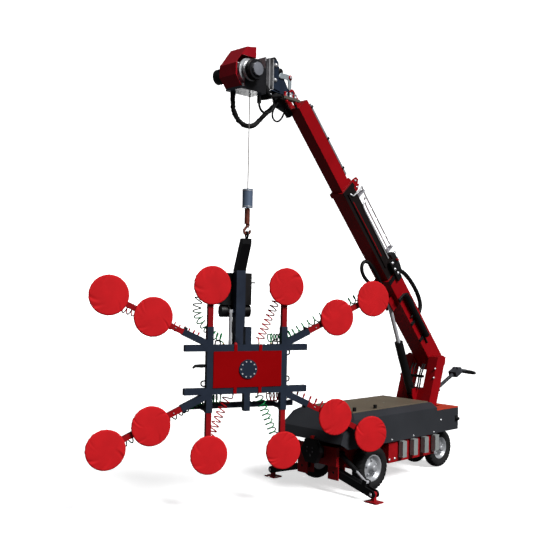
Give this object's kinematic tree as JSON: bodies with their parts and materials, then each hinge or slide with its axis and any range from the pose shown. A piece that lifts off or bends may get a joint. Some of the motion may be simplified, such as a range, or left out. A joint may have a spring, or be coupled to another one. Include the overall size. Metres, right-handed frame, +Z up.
{
  "type": "glass panel lifter",
  "caption": "Tiller-steered pick-and-carry crane with a telescopic boom and winch, carrying a turning and tilting vacuum frame with sliding arms and covered suction cups.",
  "frame": {"origin": "middle of the object's box at the ground, measured without the loose hose at the winch", "axes": "+Z up, the boom points to -Y, +X is the machine's left"},
  "size_m": [1.35, 4.6852, 3.754],
  "materials": {
    "red_paint": "gloss",
    "grey_paint": "satin",
    "deck_paint": "satin",
    "lid_paint": "satin",
    "blue_grey_paint": "satin",
    "dark_paint": "satin",
    "black_plastic": "matte",
    "red_plastic": "gloss",
    "tyre_rubber": "matte",
    "hose_rubber": "matte",
    "coil_plastic": "gloss",
    "plated_steel": "brushed",
    "chrome_rod": "polished",
    "cast_weight": "painted",
    "cover_fabric": "matte"
  },
  "bodies": {
    "chassis": {"chassis_frame": "red_paint", "body_cover": "grey_paint", "deck_lid": "deck_paint", "rear_housing": "grey_paint", "battery_pack": "dark_paint", "ballast_bars": "cast_weight", "control_box": "black_plastic", "column": "red_paint"},
    "rear_lid": {"rear_lid": "lid_paint"},
    "stop_button": {"stop_button": "red_plastic"},
    "front_left_wheel": {"front_left_wheel": "tyre_rubber"},
    "front_right_wheel": {"front_right_wheel": "tyre_rubber"},
    "bogie": {"steer_bogie": "dark_paint"},
    "rear_left_wheel": {"rear_left_wheel": "tyre_rubber"},
    "rear_right_wheel": {"rear_right_wheel": "tyre_rubber"},
    "tiller": {"tiller": "dark_paint"},
    "lift_barrel": {"lift_barrel": "dark_paint"},
    "lift_rod": {"lift_rod": "chrome_rod"},
    "boom_base": {"boom_base": "red_paint"},
    "boom_mid": {"boom_mid": "red_paint"},
    "boom_inner": {"boom_inner": "red_paint"},
    "winch_head": {"head_bracket": "blue_grey_paint", "winch_unit": "plated_steel", "winch_hood": "blue_grey_paint", "head_hose": "hose_rubber", "rope": "plated_steel"},
    "winch_drum": {"winch_drum": "plated_steel"},
    "hook_weight": {"hook_weight": "blue_grey_paint"},
    "lifter_mast": {"hook": "red_paint", "lifter_mast": "blue_grey_paint", "power_unit": "black_plastic"},
    "hook_latch": {"hook_latch": "plated_steel"},
    "tilt_hub": {"tilt_hub": "plated_steel"},
    "cross_frame": {"cross_frame": "blue_grey_paint", "front_panel": "red_paint", "coil_hoses": "coil_plastic"},
    "stabilizer_left_leg": {"stabilizer_left_leg": "dark_paint"},
    "stabilizer_left_foot": {"stabilizer_left_foot": "red_paint"},
    "stabilizer_left_barrel": {"stabilizer_left_barrel": "dark_paint"},
    "stabilizer_left_rod": {"stabilizer_left_rod": "chrome_rod"},
    "stabilizer_right_leg": {"stabilizer_right_leg": "dark_paint"},
    "stabilizer_right_foot": {"stabilizer_right_foot": "red_paint"},
    "stabilizer_right_barrel": {"stabilizer_right_barrel": "dark_paint"},
    "stabilizer_right_rod": {"stabilizer_right_rod": "chrome_rod"},
    "fan_arm_upper_left": {"fan_arm_upper_left": "red_paint", "fan_cups_upper_left": "cover_fabric"},
    "post_arm_upper_left": {"post_arm_upper_left": "red_paint", "post_cup_upper_left": "cover_fabric"},
    "fan_arm_upper_right": {"fan_arm_upper_right": "red_paint", "fan_cups_upper_right": "cover_fabric"},
    "post_arm_upper_right": {"post_arm_upper_right": "red_paint", "post_cup_upper_right": "cover_fabric"},
    "fan_arm_lower_left": {"fan_arm_lower_left": "red_paint", "fan_cups_lower_left": "cover_fabric"},
    "post_arm_lower_left": {"post_arm_lower_left": "red_paint", "post_cup_lower_left": "cover_fabric"},
    "fan_arm_lower_right": {"fan_arm_lower_right": "red_paint", "fan_cups_lower_right": "cover_fabric"},
    "post_arm_lower_right": {"post_arm_lower_right": "red_paint", "post_cup_lower_right": "cover_fabric"}
  },
  "joints": [
    {"name": "front_left_spin", "type": "hinge", "parent": "chassis", "child": "front_left_wheel", "pos_m": [0.318, 0.16577, 0.205], "axis": [1, 0, 0], "continuous": true},
    {"name": "front_right_spin", "type": "hinge", "parent": "chassis", "child": "front_right_wheel", "pos_m": [-0.318, 0.16577, 0.205], "axis": [1, 0, 0], "continuous": true},
    {"name": "steer", "type": "hinge", "parent": "chassis", "child": "bogie", "pos_m": [0, 1.48977, 0.411], "axis": [0, 0, 1], "range_deg": [-45, 45]},
    {"name": "rear_left_spin", "type": "hinge", "parent": "bogie", "child": "rear_left_wheel", "pos_m": [0.137, 1.48977, 0.193], "axis": [1, 0, 0], "continuous": true},
    {"name": "rear_right_spin", "type": "hinge", "parent": "bogie", "child": "rear_right_wheel", "pos_m": [-0.137, 1.48977, 0.193], "axis": [1, 0, 0], "continuous": true},
    {"name": "tiller_tilt", "type": "hinge", "parent": "bogie", "child": "tiller", "pos_m": [0, 1.60777, 0.745], "axis": [1, 0, 0], "range_deg": [-30, 40]},
    {"name": "stop_press", "type": "slide", "parent": "chassis", "child": "stop_button", "axis": [0, 0, 1], "range_m": [-0.005, 0], "stiffness_N_per_m": 600},
    {"name": "rear_lid_hinge", "type": "hinge", "parent": "chassis", "child": "rear_lid", "pos_m": [0, 1.52677, 0.6343], "axis": [-1, 0, 0], "range_deg": [0, 70]},
    {"name": "stabilizer_left_leg_fold", "type": "hinge", "parent": "chassis", "child": "stabilizer_left_leg", "pos_m": [0.19, -0.13223, 0.186], "axis": [0, -1, 0], "range_deg": [0, 25]},
    {"name": "stabilizer_left_ankle", "type": "hinge", "parent": "stabilizer_left_leg", "child": "stabilizer_left_foot", "pos_m": [0.61, -0.13223, 0.072], "axis": [0, -1, 0], "range_deg": [-20, 20]},
    {"name": "stabilizer_left_barrel_swing", "type": "hinge", "parent": "chassis", "child": "stabilizer_left_barrel", "pos_m": [0.232, -0.13223, 0.352], "axis": [0, -1, 0], "range_deg": [0, 23.57]},
    {"name": "stabilizer_left_rod_slide", "type": "slide", "parent": "stabilizer_left_barrel", "child": "stabilizer_left_rod", "axis": [0.8294, 0, -0.5587], "range_m": [-0.0744, 0]},
    {"name": "stabilizer_right_leg_fold", "type": "hinge", "parent": "chassis", "child": "stabilizer_right_leg", "pos_m": [-0.19, -0.13223, 0.186], "axis": [0, 1, 0], "range_deg": [0, 25]},
    {"name": "stabilizer_right_ankle", "type": "hinge", "parent": "stabilizer_right_leg", "child": "stabilizer_right_foot", "pos_m": [-0.61, -0.13223, 0.072], "axis": [0, 1, 0], "range_deg": [-20, 20]},
    {"name": "stabilizer_right_barrel_swing", "type": "hinge", "parent": "chassis", "child": "stabilizer_right_barrel", "pos_m": [-0.232, -0.13223, 0.352], "axis": [0, 1, 0], "range_deg": [0, 23.57]},
    {"name": "stabilizer_right_rod_slide", "type": "slide", "parent": "stabilizer_right_barrel", "child": "stabilizer_right_rod", "axis": [-0.8294, 0, -0.5587], "range_m": [-0.0744, 0]},
    {"name": "luff", "type": "hinge", "parent": "chassis", "child": "boom_base", "pos_m": [0, 1.45077, 1.085], "axis": [-1, 0, 0], "range_deg": [-24, 12]},
    {"name": "lift_barrel_swing", "type": "hinge", "parent": "chassis", "child": "lift_barrel", "pos_m": [0, 1.20577, 0.77], "axis": [-1, 0, 0], "range_deg": [-20.32, 10.16]},
    {"name": "lift_rod_slide", "type": "slide", "parent": "lift_barrel", "child": "lift_rod", "axis": [0, -0.3983, 0.9173], "range_m": [-0.1538, 0.0769]},
    {"name": "boom_extend", "type": "slide", "parent": "boom_base", "child": "boom_mid", "axis": [0, -0.6626, 0.749], "range_m": [0, 0.35]},
    {"name": "inner_extend", "type": "slide", "parent": "boom_mid", "child": "boom_inner", "axis": [0, -0.6626, 0.749], "range_m": [0, 0.32]},
    {"name": "head_level", "type": "hinge", "parent": "boom_inner", "child": "winch_head", "pos_m": [0, -0.64979, 3.46982], "axis": [-1, 0, 0], "range_deg": [-12.1, 24.1], "deforming": ["head_hose"]},
    {"name": "hoist", "type": "slide", "parent": "winch_head", "child": "hook_weight", "axis": [0, 0, -1], "range_m": [-0.5, 0.04], "deforming": ["rope"]},
    {"name": "drum_turn", "type": "hinge", "parent": "winch_head", "child": "winch_drum", "pos_m": [0, -1.18423, 3.55], "axis": [-1, 0, 0], "range_deg": [-331, 103]},
    {"name": "hook_swivel", "type": "hinge", "parent": "hook_weight", "child": "lifter_mast", "pos_m": [0, -1.09423, 2.452], "axis": [0, 0, -1], "range_deg": [0, 130]},
    {"name": "latch_spring", "type": "hinge", "parent": "lifter_mast", "child": "hook_latch", "pos_m": [0.00576, -1.0793, 2.306], "axis": [0.9329, -0.36, 0], "range_deg": [0, 20], "stiffness_Nm_per_rad": 0.08},
    {"name": "frame_tilt", "type": "hinge", "parent": "lifter_mast", "child": "tilt_hub", "pos_m": [-0.06717, -1.06831, 1.14], "axis": [0.36, 0.9329, 0], "range_deg": [-18, 0]},
    {"name": "frame_turn", "type": "hinge", "parent": "tilt_hub", "child": "cross_frame", "pos_m": [0, -1.09423, 1.14], "axis": [0.9329, -0.36, 0], "range_deg": [0, 90]},
    {"name": "fan_slide_lower_left", "type": "slide", "parent": "cross_frame", "child": "fan_arm_lower_left", "axis": [-0.3257, -0.8442, -0.4258], "range_m": [-0.1, 0.04], "deforming": ["coil_hoses"]},
    {"name": "post_slide_lower_left", "type": "slide", "parent": "cross_frame", "child": "post_arm_lower_left", "axis": [0, 0, -1], "range_m": [-0.1, 0.06], "deforming": ["coil_hoses"]},
    {"name": "fan_slide_upper_left", "type": "slide", "parent": "cross_frame", "child": "fan_arm_upper_left", "axis": [-0.3257, -0.8442, 0.4258], "range_m": [-0.1, 0.04], "deforming": ["coil_hoses"]},
    {"name": "post_slide_upper_left", "type": "slide", "parent": "cross_frame", "child": "post_arm_upper_left", "axis": [0, 0, 1], "range_m": [-0.1, 0.06], "deforming": ["coil_hoses"]},
    {"name": "fan_slide_lower_right", "type": "slide", "parent": "cross_frame", "child": "fan_arm_lower_right", "axis": [0.3257, 0.8442, -0.4258], "range_m": [-0.1, 0.04], "deforming": ["coil_hoses"]},
    {"name": "post_slide_lower_right", "type": "slide", "parent": "cross_frame", "child": "post_arm_lower_right", "axis": [0, 0, -1], "range_m": [-0.1, 0.06], "deforming": ["coil_hoses"]},
    {"name": "fan_slide_upper_right", "type": "slide", "parent": "cross_frame", "child": "fan_arm_upper_right", "axis": [0.3257, 0.8442, 0.4258], "range_m": [-0.1, 0.04], "deforming": ["coil_hoses"]},
    {"name": "post_slide_upper_right", "type": "slide", "parent": "cross_frame", "child": "post_arm_upper_right", "axis": [0, 0, 1], "range_m": [-0.1, 0.06], "deforming": ["coil_hoses"]}
  ],
  "couplings": [
    {"joint": "stabilizer_left_barrel_swing", "follows": "stabilizer_left_leg_fold", "ratio": 0.92279},
    {"joint": "stabilizer_left_rod_slide", "follows": "stabilizer_left_leg_fold", "m_per_rad": -0.16815},
    {"joint": "stabilizer_right_barrel_swing", "follows": "stabilizer_right_leg_fold", "ratio": 0.92279},
    {"joint": "stabilizer_right_rod_slide", "follows": "stabilizer_right_leg_fold", "m_per_rad": -0.16815},
    {"joint": "lift_barrel_swing", "follows": "luff", "ratio": 0.83},
    {"joint": "lift_rod_slide", "follows": "luff", "m_per_rad": 0.36},
    {"joint": "inner_extend", "follows": "boom_extend", "ratio": 0.9},
    {"joint": "head_level", "follows": "luff", "ratio": -1},
    {"joint": "drum_turn", "follows": "hoist", "rad_per_m": 11.364}
  ]
}
